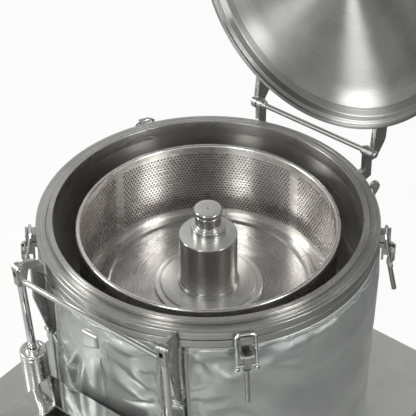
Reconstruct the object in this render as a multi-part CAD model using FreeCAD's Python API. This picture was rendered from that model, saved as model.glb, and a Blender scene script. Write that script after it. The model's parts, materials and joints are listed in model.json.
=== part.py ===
import FreeCAD, Part
import math
import os
from FreeCAD import Vector

# Top-loading filter centrifuge: a perforated basket on a vertical spindle inside a
# jacketed casing, with a rear-hinged lid, four toggle latches and a front bail.
# Frame: origin on the floor at the spindle axis, +Z up, +Y towards the lid hinge,
# +X to the right of someone standing at the console. Lengths in mm, angles in degrees.

# Levels
deckTop = 450.0
ringTop = 860.0

# Basket
basketGap = 37.0
basketRimDrop = 13.0
basketRimHeight = 10.0
basketWallInset = 4.0
basketWallThick = 2.0
basketDepth = 152.0
basketPlateThick = 8.0
basketRimInnerInset = 8.0
basketRimRound = 2.5
basketFloorInset = 28.0
basketFloorThick = 19.0
basketBeadWidth = 22.0
basketBeadHeight = 3.0
basketBeadRound = 4.0

# Hub and spindle
hubRadius = 50.0
hubHeight = 110.0
hubFootRadius = 54.0
hubFootHeight = 6.0
hubChamfer = 1.5
hubDiscRadius = 94.0
hubDiscInnerRadius = 83.0
hubDiscThick = 7.0
hubDiscEdgeThick = 4.5
noseCollarRadius = 30.0
noseCollarHeight = 20.0
noseStepRadius = 25.5
noseStepHeight = 5.0
noseNeckRadius = 21.0
noseCapRadius = 24.0
noseCapHeight = 11.0
noseHeight = 54.0
noseChamfer = 2.0
spindleRadius = 24.0
spindleLength = 92.0
spindleClearance = 0.05
bearingRadius = 62.0
bearingHeadroom = 12.0
bearingChamfer = 3.0

# Casing
casingInnerRadius = 262.0
casingWallThick = 4.0
casingFloorDrop = 220.0
casingFloorThick = 8.0
flangeWidth = 24.0
flangeThick = 15.5
ringWidth = 29.0
ringThick = 15.6
flangeJoint = 0.9
ringLipWidth = 9.0
ringLipHeight = 8.0
ringGrooveWidth = 2.0
ringGrooveDepth = 1.2
ringSeatInset = 2.0
edgeChamfer = 1.2

# Insulation jacket: three padded panels, thinner towards the deck
jacketTopThick = 25.5
jacketBottomThick = 13.0
jacketGap = 0.4
jacketTopGap = 1.0
jacketBottomGap = 0.5
jacketSeam = 5.0
jacketSlotInset = 2.0
jacketSlotWidth = 54.0
jacketSlotBelow = 10.0

# Deck and base
deckSideMargin = 33.5
deckRearMargin = 33.5
deckFrontMargin = 18.0
deckThick = 3.0
deckSkirt = 40.0
deckCorner = 10.0
cabinetInset = 22.0
cabinetBottom = 60.0
cabinetCorner = 14.0
footInset = 70.0
footRearInset = 45.0
footFrontRoom = 44.0
footPadRadius = 40.0
footPadThick = 10.0
anchorOffset = 46.0
anchorLobeRadius = 20.0
anchorHoleRadius = 6.0
footStemRadius = 11.0
footNutRadius = 18.0
footNutHeight = 14.0

# Console
consoleHalfWidth = 99.0
consoleGap = 9.5
consoleDepth = 140.0
consoleNoseRun = 34.0
consoleNoseDrop = 46.0
consoleHeight = 211.0
consoleEdge = 4.0
screenHalfWidth = 39.0
screenRearGap = 54.0
screenLength = 72.0
screenInset = 3.0
screenThick = 4.0
bezelWidth = 4.0
bezelHeight = 1.5

# Lid, drawn closed and then swung open about the hinge pin
lidOpenAngle = 97.0
lidOverhang = 8.0
lidSeatGap = 1.0
lidRimHeight = 21.0
lidRimWidth = 16.0
lidRimStep = 6.0
lidRimFoot = 7.0
lidShoulder = 12.0
lidRimBevel = 4.0
lidFinHeight = 15.0
lidSheet = 3.0
lidConeRise = 36.0
lidBossRadius = 24.0
lidBossDepth = 26.0
lidBossTipRadius = 14.0
lidBossShoulder = 8.0
lidBossProud = 1.0

# Lid hinge
hingeReach = 9.0
hingeRise = 15.0
hingePinRadius = 5.0
hingePinClearance = 0.06
hingeHalfSpan = 112.0
casingLugThick = 10.0
casingLugHalfWidth = 10.0
casingLugDepth = 10.0
lidLugThick = 9.0
lidLugHalfWidth = 11.0
lidLugReach = 34.0
lidLugRise = 3.0
lugGap = 0.5
hingeNutRadius = 6.5
hingeNutThick = 4.5
hingeCollarRadius = 8.0
hingeCollarThick = 5.0

# Eye for the lid stay, on the right of the hinge
stayAngle = 54.7
stayReach = 8.0
stayRise = 1.0
stayEyeRadius = 8.0
stayHoleRadius = 3.0
stayThick = 7.0
stayDepth = 30.0
stayFoot = 3.0

# Toggle latches
latchAngles = {"front_left": -135.0, "front_right": -40.0, "rear_right": 31.0, "rear_left": 151.0}
barReach = 9.0
barSeat = 0.2
keeperHalfWidth = 10.0
keeperHeight = 15.0
keeperLipThick = 3.0
keeperLipHeight = 1.8
keeperLipRoom = 3.3
keeperCorner = 2.0
wireRadius = 2.4
wireSpread = 16.0
wireEnd = 9.0
wireNutRadius = 4.0
loopPinRadius = 3.0
leverPivotReach = 20.0
leverPivotDrop = 38.0
leverThrow = 18.0
leverHalfWidth = 6.5
leverWall = 2.0
leverBoss = 7.0
leverBelowPin = 12.0
leverWaist = 3.0
leverCorner = 5.0
handleRadius = 4.2
handleLength = 64.0
handleLean = 0.2
latchPinRadius = 2.5
latchPinHead = 4.2
latchPinHeadThick = 1.5
latchPinClearance = 0.05
earThick = 3.0
earGap = 0.5
earRadius = 7.0
latchPlateThick = 4.0
latchPlateGap = 3.0

# Front bail: clevises on two lift cylinders, a cross rod and a hooked arm on each side
bailX = 153.0
bailReach = 11.0
bailTurn = 13.0
bailLean = 4.0
bailPinRise = 6.0
crossRodDrop = 25.0
crossRodRadius = 5.0
clevisWidth = 15.0
clevisDepth = 18.0
clevisBelowPin = 32.0
clevisCleftBelowPin = 13.0
clevisCorner = 2.0
armThick = 6.0
armWidth = 24.0
armSideGap = 0.3
armEyeRadius = 9.0
armPinRadius = 4.0
armPinHeadRadius = 6.0
armPinHeadThick = 3.0
armRingGap = 1.5
armShoulder = 36.0
armElbow = 5.0
armLegLength = 76.0
armTipRun = 8.0
armTipRadius = 3.0
armFootDrop = 156.0
armFootWidth = 12.0
armFootThick = 6.0
armFootHalfSpan = 7.0
pistonRadius = 7.0
cylinderRadius = 23.5
cylinderDrop = 180.0
cylinderCapChamfer = 4.0
cylinderCollarRadius = 12.0
cylinderCollarHeight = 5.0

# Derived levels and radii
casingOuterRadius = casingInnerRadius + casingWallThick
flangeRadius = casingOuterRadius + flangeWidth
ringRadius = casingInnerRadius + ringWidth
ringLipRadius = casingInnerRadius + ringLipWidth
basketRimRadius = casingInnerRadius - basketGap
basketWallRadius = basketRimRadius - basketWallInset
basketFloorRadius = basketWallRadius - basketFloorInset
lidRadius = ringLipRadius + lidOverhang
lidRimInnerRadius = lidRadius - lidRimWidth
jacketInnerRadius = casingOuterRadius + jacketGap
jacketTopRadius = casingOuterRadius + jacketTopThick
jacketBottomRadius = casingOuterRadius + jacketBottomThick
flangeTop = ringTop - ringThick - flangeJoint
flangeBottom = flangeTop - flangeThick
basketTop = ringTop - basketRimDrop
basketPlateTop = basketTop - basketDepth
basketPlateBottom = basketPlateTop - basketPlateThick
basketFloorTop = basketPlateTop + basketFloorThick
hubTop = basketFloorTop + hubHeight
casingFloorTop = ringTop - casingFloorDrop
lidSeat = ringTop + ringLipHeight + lidSeatGap
hingeY = ringRadius + hingeReach
hingeZ = ringTop + hingeRise
bailY = ringRadius + bailReach
bailPinZ = ringTop + bailPinRise
armFootZ = ringTop - armFootDrop
clevisBottom = bailPinZ - clevisBelowPin
canTop = ringTop - cylinderDrop
consoleRear = jacketTopRadius + consoleGap
consoleFront = consoleRear + consoleDepth + consoleNoseRun
deckHalfWidth = jacketTopRadius + deckSideMargin
deckRear = jacketTopRadius + deckRearMargin
deckFront = consoleFront + deckFrontMargin
footX = deckHalfWidth - footInset
footY = deckRear - footRearInset

AXIS = Vector(0, 0, 1)
ORIGIN = Vector(0, 0, 0)
parts = {}


def revolved(points):
    """Solid of revolution about the spindle axis from (radius, z) points."""
    wire = Part.makePolygon([Vector(r, 0, z) for r, z in points + points[:1]])
    return Part.Face(wire).revolve(ORIGIN, AXIS, 360)


def disc(radius, bottom, top, x=0.0, y=0.0):
    return Part.makeCylinder(radius, top - bottom, Vector(x, y, bottom))


def tube(outer, inner, bottom, top):
    return disc(outer, bottom, top).cut(disc(inner, bottom - 1, top + 1))


def rodX(radius, x0, x1, y, z):
    return Part.makeCylinder(radius, x1 - x0, Vector(x0, y, z), Vector(1, 0, 0))


def rodY(radius, y0, y1, x, z):
    return Part.makeCylinder(radius, y1 - y0, Vector(x, y0, z), Vector(0, 1, 0))


def box(x0, x1, y0, y1, z0, z1):
    return Part.makeBox(x1 - x0, y1 - y0, z1 - z0, Vector(x0, y0, z0))


def plate(corners, start, stop):
    """Plate in the YZ plane from x = start to x = stop. Each (y, z, radius) corner turns on a tangent arc."""
    spots = [Vector(start, y, z) for y, z, radius in corners]
    radii = [radius for y, z, radius in corners]
    edges = []
    ends = []
    for i, corner in enumerate(spots):
        back = (spots[i - 1] - corner).normalize()
        ahead = (spots[(i + 1) % len(spots)] - corner).normalize()
        if radii[i] == 0:
            ends.append((corner, corner))
            continue
        half = back.getAngle(ahead) / 2
        run = radii[i] / math.tan(half)
        middle = (back + ahead).normalize() * (radii[i] / math.sin(half) - radii[i])
        ends.append((corner + back * run, corner + ahead * run))
        edges.append(Part.Arc(ends[i][0], corner + middle, ends[i][1]).toShape())
    for i in range(len(spots)):
        edges.append(Part.LineSegment(ends[i - 1][1], ends[i][0]).toShape())
    outline = Part.Wire(Part.__sortEdges__(edges))
    return Part.Face(outline).extrude(Vector(stop - start, 0, 0))


def turned(shape, angle):
    """Shape turned about the spindle axis."""
    placed = shape.copy()
    placed.rotate(ORIGIN, AXIS, angle)
    return placed


def radialPlate(corners, halfThick):
    """Plate along +X, from (radius, z, corner radius) corners, as thick each side of the XZ plane."""
    return turned(plate(corners, -halfThick, halfThick), -90)


def verticalEdges(shape):
    return [e for e in shape.Edges if abs(e.tangentAt(e.FirstParameter).z) > 0.99]


def edgesAbove(shape, level):
    return [e for e in shape.Edges if e.BoundBox.ZMin > level]


def sector(points, start, stop):
    """Sector of a revolved (radius, z) outline from angle start to angle stop."""
    face = Part.Face(Part.makePolygon([Vector(r, 0, z) for r, z in points + points[:1]]))
    face.rotate(ORIGIN, AXIS, start)
    return face.revolve(ORIGIN, AXIS, stop - start)


# Base cabinet and feet
cabinet = box(-deckHalfWidth + cabinetInset, deckHalfWidth - cabinetInset,
              -footY - footFrontRoom, deckRear - cabinetInset, cabinetBottom, deckTop - deckThick)
parts["base_cabinet"] = cabinet.makeFillet(cabinetCorner, verticalEdges(cabinet))

for name, xSide, ySide in (("foot_front_left", -1, -1), ("foot_front_right", 1, -1),
                           ("foot_rear_left", -1, 1), ("foot_rear_right", 1, 1)):
    x = xSide * footX
    y = ySide * footY
    anchorX = x + xSide * anchorOffset
    pad = disc(footPadRadius, 0, footPadThick, x, y)
    lobe = disc(anchorLobeRadius, 0, footPadThick, anchorX, y)
    bridge = box(min(x, anchorX), max(x, anchorX), y - anchorLobeRadius, y + anchorLobeRadius,
                 0, footPadThick)
    pad = pad.fuse([lobe, bridge]).cut(disc(anchorHoleRadius, -1, footPadThick + 1, anchorX, y))
    stem = disc(footStemRadius, footPadThick, cabinetBottom, x, y)
    nut = disc(footNutRadius, cabinetBottom - footNutHeight, cabinetBottom, x, y)
    parts[name] = pad.fuse([stem, nut]).removeSplitter()

# Deck: a sheet tray with a skirt, its front shelf under the console
deck = box(-deckHalfWidth, deckHalfWidth, -deckFront, deckRear, deckTop - deckSkirt, deckTop)
deck = deck.makeFillet(deckCorner, verticalEdges(deck))
underside = box(-deckHalfWidth + deckThick, deckHalfWidth - deckThick, -deckFront + deckThick,
                deckRear - deckThick, deckTop - deckSkirt - 1, deckTop - deckThick)
parts["deck_plate"] = deck.cut(underside.makeFillet(deckCorner - deckThick, verticalEdges(underside)))

# Console: a folded box with a flat top, a sloping front and a framed screen
consoleTop = deckTop + consoleHeight
housing = plate([
    (-consoleRear, deckTop, 0), (-consoleRear, consoleTop, consoleEdge),
    (-consoleRear - consoleDepth, consoleTop, 2 * consoleEdge),
    (-consoleFront, consoleTop - consoleNoseDrop, 2 * consoleEdge), (-consoleFront, deckTop, 0)],
    -consoleHalfWidth, consoleHalfWidth)
screenRear = -consoleRear - screenRearGap
screenFront = screenRear - screenLength
frame = box(-screenHalfWidth - bezelWidth, screenHalfWidth + bezelWidth, screenFront - bezelWidth,
            screenRear + bezelWidth, consoleTop - 1, consoleTop + bezelHeight)
frame = frame.makeChamfer(bezelHeight / 2, edgesAbove(frame, consoleTop))
recess = box(-screenHalfWidth, screenHalfWidth, screenFront, screenRear,
             consoleTop - screenInset, consoleTop + bezelHeight + 1)
parts["console_housing"] = housing.fuse(frame).cut(recess).removeSplitter()
parts["console_screen"] = box(-screenHalfWidth, screenHalfWidth, screenFront, screenRear,
                              consoleTop - screenInset, consoleTop - screenInset + screenThick)

# Casing: shell, floor with the spindle opening, bearing housing and the two flanges
parts["casing_shell"] = tube(casingOuterRadius, casingInnerRadius, deckTop, flangeTop)
parts["casing_floor"] = tube(casingInnerRadius, bearingRadius,
                             casingFloorTop - casingFloorThick, casingFloorTop)
bearingTop = casingFloorTop + bearingHeadroom
bearing = tube(bearingRadius, spindleRadius + spindleClearance, deckTop, bearingTop)
bearingRim = [e for e in edgesAbove(bearing, bearingTop - 0.1) if e.BoundBox.XLength > 2 * bearingRadius - 1]
parts["bearing_housing"] = bearing.makeChamfer(bearingChamfer, bearingRim)
parts["lower_flange"] = revolved([
    (casingOuterRadius, flangeBottom), (flangeRadius - edgeChamfer, flangeBottom),
    (flangeRadius, flangeBottom + edgeChamfer), (flangeRadius, flangeTop - edgeChamfer),
    (flangeRadius - edgeChamfer, flangeTop), (casingOuterRadius, flangeTop)])

grooveOuter = ringLipRadius + ringGrooveWidth
ringSeat = ringRadius - edgeChamfer - ringSeatInset
parts["upper_ring"] = revolved([
    (casingInnerRadius, flangeTop), (ringSeat, flangeTop), (ringSeat, flangeTop + flangeJoint),
    (ringRadius - edgeChamfer, flangeTop + flangeJoint), (ringRadius, flangeTop + flangeJoint + edgeChamfer),
    (ringRadius, ringTop - edgeChamfer), (ringRadius - edgeChamfer, ringTop), (grooveOuter, ringTop),
    (grooveOuter, ringTop - ringGrooveDepth), (ringLipRadius, ringTop - ringGrooveDepth),
    (ringLipRadius, ringTop + ringLipHeight - edgeChamfer),
    (ringLipRadius - edgeChamfer, ringTop + ringLipHeight),
    (casingInnerRadius + edgeChamfer, ringTop + ringLipHeight),
    (casingInnerRadius, ringTop + ringLipHeight - edgeChamfer)])

# Eye for the lid stay: a radial plate on the two flanges
eyeRadial = ringRadius + stayReach
eyeZ = ringTop + stayRise
stay = radialPlate([
    (flangeRadius - 1, flangeTop, 0), (flangeRadius - 1, flangeTop - stayDepth / 2, 0),
    (flangeRadius + stayFoot, flangeTop - stayDepth / 2, 0),
    (eyeRadial + stayEyeRadius, eyeZ - stayEyeRadius / 2, stayEyeRadius / 2),
    (eyeRadial + stayEyeRadius / 2, eyeZ, 0), (eyeRadial - stayEyeRadius, eyeZ, 0)], stayThick / 2)
stay = stay.fuse(rodY(stayEyeRadius, -stayThick / 2, stayThick / 2, eyeRadial, eyeZ))
stay = stay.cut(rodY(stayHoleRadius, -stayThick, stayThick, eyeRadial, eyeZ))
stay = stay.cut(disc(ringRadius + lugGap, flangeTop - 1, eyeZ + 2 * stayEyeRadius))
stay = stay.cut(disc(flangeRadius, flangeBottom - stayDepth, flangeTop - 1)).removeSplitter()
parts["stay_eye"] = turned(stay, stayAngle)

# Latch keepers: blocks on the upper ring with a shallow hook for the bar of the loop
barRadial = ringRadius + barReach
barZ = ringTop
keeperTop = barZ - wireRadius - barSeat
lipInner = barRadial + wireRadius + keeperLipRoom
lipOuter = lipInner + keeperLipThick
keeper = radialPlate([
    (ringRadius - 1, keeperTop - keeperHeight, 0), (lipOuter, keeperTop - keeperHeight, 2 * keeperCorner),
    (lipOuter, keeperTop + keeperLipHeight, keeperLipHeight / 2), (lipInner, keeperTop + keeperLipHeight, 0),
    (lipInner - keeperLipHeight, keeperTop, 0), (ringRadius - 1, keeperTop, 0)], keeperHalfWidth)
keeper = keeper.cut(disc(ringRadius, flangeTop, ringTop))

# Latch bases: a plate over the jacket's edge, welded to the lower flange, with two ears and a pin
pivotRadial = ringRadius + leverPivotReach
pivotZ = ringTop - leverPivotDrop
loopPivotZ = pivotZ - leverThrow
latchBottom = loopPivotZ - leverBelowPin
plateFace = jacketTopRadius + latchPlateGap
earHalf = leverHalfWidth + earGap
earOuter = earHalf + earThick
latchTop = keeperTop - keeperHeight - latchPlateGap
base = box(plateFace, plateFace + latchPlateThick, -earOuter, earOuter, loopPivotZ, latchTop)
base = base.fuse(box(flangeRadius - 1, plateFace + 1, -earOuter, earOuter,
                     flangeBottom + edgeChamfer, latchTop))
for inner in (-earOuter, earHalf):
    ear = box(plateFace, pivotRadial, inner, inner + earThick, pivotZ - earRadius, pivotZ + earRadius)
    base = base.fuse([ear, rodY(earRadius, inner, inner + earThick, pivotRadial, pivotZ)])
pinHalf = earOuter + latchPinHeadThick
base = base.fuse([
    rodY(latchPinRadius, -earOuter, earOuter, pivotRadial, pivotZ),
    rodY(latchPinHead, -pinHalf, -earOuter, pivotRadial, pivotZ),
    rodY(latchPinHead, earOuter, pinHalf, pivotRadial, pivotZ)])
base = base.cut(disc(flangeRadius, flangeBottom, flangeTop)).removeSplitter()

# Latch levers: a folded channel about the pin, with a round handle on its end
handleRadial = pivotRadial - leverWaist
lever = radialPlate([
    (pivotRadial - leverBoss + 2, pivotZ, 0), (pivotRadial + leverBoss, pivotZ, 0),
    (pivotRadial + leverBoss, loopPivotZ, 2 * leverCorner),
    (handleRadial + handleRadius, latchBottom, leverWall),
    (handleRadial - handleRadius, latchBottom, leverWall),
    (pivotRadial - leverBoss + 2, loopPivotZ, leverCorner)], leverHalfWidth)
lever = lever.fuse(rodY(leverBoss, -leverHalfWidth, leverHalfWidth, pivotRadial, pivotZ))
hollow = box(plateFace, pivotRadial + leverBoss - leverWall, -leverHalfWidth + leverWall,
             leverHalfWidth - leverWall, latchBottom + leverBelowPin / 2, pivotZ + 2 * leverBoss)
handle = Part.makeCylinder(handleRadius, handleLength, Vector(handleRadial, 0, latchBottom + handleRadius),
                           Vector(handleLean, 0, -1))
handle = handle.makeChamfer(handleRadius / 3, [e for e in handle.Edges if e.BoundBox.ZMax < latchBottom])
lever = lever.cut(hollow).fuse(handle)
lever = lever.cut(rodY(latchPinRadius + latchPinClearance, -pinHalf, pinHalf, pivotRadial, pivotZ))
lever = lever.cut(rodY(loopPinRadius + latchPinClearance, -wireSpread, wireSpread, pivotRadial, loopPivotZ))
lever = lever.removeSplitter()

# Latch loops: a bent wire on a cross pin, with a nut on each end, drawn upright and then leaned
loopRise = math.hypot(barZ - loopPivotZ, barRadial - pivotRadial)
loopLean = math.degrees(math.atan2(barRadial - pivotRadial, barZ - loopPivotZ))
wireFoot = loopPivotZ - wireEnd
wireTop = loopPivotZ + loopRise
bend = 2 * wireRadius
corners = [(-wireSpread, wireFoot), (-wireSpread, wireTop - bend), (-wireSpread + bend, wireTop),
           (wireSpread - bend, wireTop), (wireSpread, wireTop - bend), (wireSpread, wireFoot)]
route = Part.makePolygon([Vector(pivotRadial, y, z) for y, z in corners])
section = Part.Wire(Part.makeCircle(wireRadius, Vector(pivotRadial, -wireSpread, wireFoot), AXIS))
wire = route.makePipeShell([section], True, False, 1)
pinEnd = wireSpread + wireRadius + loopPinRadius / 2
nuts = [disc(wireNutRadius, wireFoot + wireRadius / 2, loopPivotZ - loopPinRadius, pivotRadial, y)
        for y in (-wireSpread, wireSpread)]
loop = rodY(loopPinRadius, -pinEnd, pinEnd, pivotRadial, loopPivotZ).fuse(nuts + [wire]).removeSplitter()
loop.rotate(Vector(pivotRadial, 0, loopPivotZ), Vector(0, 1, 0), loopLean)
for name, angle in latchAngles.items():
    parts["latch_keeper_" + name] = turned(keeper, angle)
    parts["latch_base_" + name] = turned(base, angle)
    parts["latch_lever_" + name] = turned(lever, angle)
    parts["latch_loop_" + name] = turned(loop, angle)

# Hinge lugs on the casing and the pin through them
lugOuterX = hingeHalfSpan + casingLugThick
lugRootY = math.sqrt(flangeRadius ** 2 - lugOuterX ** 2) - casingLugDepth
for side, name in ((-1, "left"), (1, "right")):
    x0 = hingeHalfSpan if side > 0 else -lugOuterX
    post = box(x0, x0 + casingLugThick, hingeY - casingLugHalfWidth, hingeY + casingLugHalfWidth,
               flangeBottom - casingLugDepth, hingeZ)
    foot = box(x0, x0 + casingLugThick, lugRootY, hingeY + casingLugHalfWidth,
               flangeBottom - casingLugDepth, flangeTop - edgeChamfer)
    foot = foot.cut(disc(flangeRadius, flangeBottom, flangeTop))
    foot = foot.cut(disc(jacketTopRadius + lugGap, flangeBottom - 2 * casingLugDepth, flangeBottom))
    eye = rodX(casingLugHalfWidth, x0, x0 + casingLugThick, hingeY, hingeZ)
    lug = post.fuse([foot, eye]).removeSplitter()
    parts["casing_lug_" + name] = lug.cut(rodX(hingePinRadius, -2 * lugOuterX, 2 * lugOuterX, hingeY, hingeZ))

nutX = lugOuterX + lugGap + lidLugThick + lugGap
hingeEnd = nutX + hingeNutThick
hingeRod = rodX(hingePinRadius, -hingeEnd, hingeEnd, hingeY, hingeZ)
for x0 in (-hingeEnd, nutX):
    hingeRod = hingeRod.fuse(rodX(hingeNutRadius, x0, x0 + hingeNutThick, hingeY, hingeZ))
for x0 in (-hingeHalfSpan, hingeHalfSpan - hingeCollarThick):
    hingeRod = hingeRod.fuse(rodX(hingeCollarRadius, x0, x0 + hingeCollarThick, hingeY, hingeZ))
parts["hinge_rod"] = hingeRod.removeSplitter()

# Lid: stepped rim, spun cone, centre boss and two lugs, closed and then swung open
lid = {}
rimFoot = lidRadius - lidRimFoot
lidStepZ = lidSeat + lidRimHeight
rimTop = lidStepZ + lidSheet
coneOuter = lidRimInnerRadius - lidShoulder
lid["lid_rim"] = revolved([
    (rimFoot, lidSeat), (lidRadius - edgeChamfer, lidSeat), (lidRadius, lidSeat + edgeChamfer),
    (lidRadius, lidSeat + lidRimStep), (lidRadius - lidRimBevel, lidSeat + lidRimStep + lidRimBevel),
    (lidRimInnerRadius + lidSheet, rimTop), (coneOuter, rimTop), (coneOuter, lidStepZ),
    (lidRimInnerRadius, lidStepZ), (lidRimInnerRadius + lidSheet, lidSeat + lidRimStep + lidRimBevel / 2),
    (rimFoot, lidSeat + lidRimStep)])
apexZ = lidStepZ + lidConeRise
lid["lid_cone"] = revolved([
    (lidBossRadius, apexZ), (coneOuter, lidStepZ), (coneOuter, rimTop), (lidBossRadius, apexZ + lidSheet)])
lid["lid_boss"] = revolved([
    (0, apexZ - lidBossDepth), (lidBossTipRadius, apexZ - lidBossDepth),
    (lidBossTipRadius, apexZ - lidBossShoulder), (lidBossRadius, apexZ - lidBossShoulder + lidSheet),
    (lidBossRadius, apexZ + lidSheet + lidBossProud), (0, apexZ + lidSheet + lidBossProud)])
rimY = math.sqrt(lidRadius ** 2 - (lugOuterX + lugGap + lidLugThick) ** 2)
finTop = rimTop + lidFinHeight
web = [
    (rimY - lidLugReach, rimTop - 1, 0), (rimY - lidShoulder, rimTop - 1, 0),
    (rimY - 1, lidSeat + lidRimStep - 1, 0), (rimY + lidRimBevel, lidSeat + lidLugRise, 0),
    (hingeY, lidSeat + lidLugRise, 0), (hingeY, hingeZ - lidLugHalfWidth / 2, 0),
    (hingeY + lidLugHalfWidth, hingeZ, 0),
    (hingeY + lidLugHalfWidth, hingeZ + lidLugHalfWidth, lidLugHalfWidth),
    (hingeY - lidLugReach / 2, finTop, lidLugReach / 2), (rimY - lidLugReach, finTop, lidRimBevel)]
for side, name in ((-1, "left"), (1, "right")):
    x0 = lugOuterX + lugGap if side > 0 else -lugOuterX - lugGap - lidLugThick
    lug = plate(web, x0, x0 + lidLugThick)
    lug = lug.fuse(rodX(lidLugHalfWidth, x0, x0 + lidLugThick, hingeY, hingeZ)).removeSplitter()
    lug = lug.cut(rodX(hingePinRadius + hingePinClearance, -2 * lugOuterX, 2 * lugOuterX, hingeY, hingeZ))
    lid["lid_lug_" + name] = lug.cut(lid["lid_rim"]).cut(lid["lid_cone"])
for name, shape in lid.items():
    shape.rotate(Vector(0, hingeY, hingeZ), Vector(1, 0, 0), -lidOpenAngle)
    parts[name] = shape

# Basket: rolled rim, perforated wall, base plate, raised floor with a beaded edge
rimInner = basketRimRadius - basketRimInnerInset
rimBottom = basketTop - basketRimHeight
parts["basket_rim"] = revolved([
    (rimInner + 1, rimBottom), (basketRimRadius - 1, rimBottom), (basketRimRadius, rimBottom + 1),
    (basketRimRadius, basketTop - basketRimRound), (basketRimRadius - basketRimRound, basketTop),
    (rimInner + basketRimRound, basketTop), (rimInner, basketTop - basketRimRound),
    (rimInner, rimBottom + 1)])
parts["basket_wall"] = tube(basketWallRadius, basketWallRadius - basketWallThick, basketPlateTop, rimBottom)
parts["basket_plate"] = tube(basketWallRadius, spindleRadius, basketPlateBottom, basketPlateTop)
beadInner = basketFloorRadius - basketBeadWidth
floorZ = basketFloorTop - basketBeadHeight
parts["basket_floor"] = revolved([
    (0, basketPlateTop), (basketFloorRadius, basketPlateTop), (basketFloorRadius, floorZ - basketBeadRound),
    (basketFloorRadius - basketBeadRound / 3, floorZ + basketBeadHeight / 3),
    (basketFloorRadius - basketBeadRound, basketFloorTop), (beadInner + basketBeadRound, basketFloorTop),
    (beadInner, floorZ), (0, floorZ)])
hubDisc = revolved([
    (0, floorZ), (hubDiscRadius, floorZ), (hubDiscRadius, floorZ + hubDiscEdgeThick - 1),
    (hubDiscRadius - 1, floorZ + hubDiscEdgeThick), (hubDiscInnerRadius, floorZ + hubDiscEdgeThick),
    (hubDiscInnerRadius - 1, floorZ + hubDiscThick), (0, floorZ + hubDiscThick)])
parts["hub_disc"] = hubDisc
hubBase = floorZ + hubDiscThick
hubStep = hubBase + hubFootHeight
parts["hub"] = revolved([
    (0, hubBase), (hubFootRadius, hubBase), (hubFootRadius, hubStep - hubChamfer),
    (hubFootRadius - hubChamfer, hubStep), (hubRadius, hubStep), (hubRadius, hubTop - hubChamfer),
    (hubRadius - hubChamfer, hubTop), (0, hubTop)])

# Spindle: the nose above the hub and the shaft in its bearing
collarTop = hubTop + noseCollarHeight
noseTop = hubTop + noseHeight
capBottom = noseTop - noseCapHeight
parts["spindle_nose"] = revolved([
    (0, hubTop), (noseCollarRadius, hubTop), (noseCollarRadius, collarTop - noseChamfer),
    (noseCollarRadius - noseChamfer, collarTop), (noseStepRadius, collarTop),
    (noseStepRadius, collarTop + noseStepHeight), (noseNeckRadius, collarTop + noseStepHeight),
    (noseNeckRadius, capBottom), (noseCapRadius, capBottom + noseChamfer / 2),
    (noseCapRadius, noseTop - noseChamfer), (noseCapRadius - noseChamfer, noseTop), (0, noseTop)])
parts["spindle_shaft"] = disc(spindleRadius, basketPlateTop - spindleLength, basketPlateTop)

# Front bail: hooked arms from the casing to clevises on the piston rods, and a cross rod. Each side is
# drawn in line with the Y axis, as far from it as its pin is, and turned about the spindle to its place.
# Clevis, rod and cylinder lean back from the pin
armX = bailX * math.cos(math.radians(bailTurn)) - bailY * math.sin(math.radians(bailTurn))
armY = bailX * math.sin(math.radians(bailTurn)) + bailY * math.cos(math.radians(bailTurn))
armHalf = armThick / 2
armRear = -math.sqrt(ringRadius ** 2 - (armX - armHalf) ** 2) - armRingGap
armFront = armRear - armWidth
armTip = armRear + armTipRun
armWeld = -math.sqrt(casingOuterRadius ** 2 - (armX + armHalf) ** 2)
armTop = bailPinZ + armEyeRadius
armUnder = bailPinZ - armEyeRadius
armLegZ = bailPinZ - armLegLength
armHook = [
    (-armY, armTop, 0), (armRear, armTop, armShoulder), (armRear, armLegZ, armElbow),
    (armTip, armFootZ, armTipRadius), (armTip - armTipRun, armFootZ, armTipRadius),
    (armFront, armLegZ, 4 * armElbow), (armFront, armUnder, armElbow), (-armY, armUnder, 0)]
blockTop = bailPinZ + clevisDepth / 2
underDeck = box(-deckHalfWidth, deckHalfWidth, -2 * armY, 0, deckTop - 2 * cylinderRadius, deckTop)
clevises = []
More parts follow.
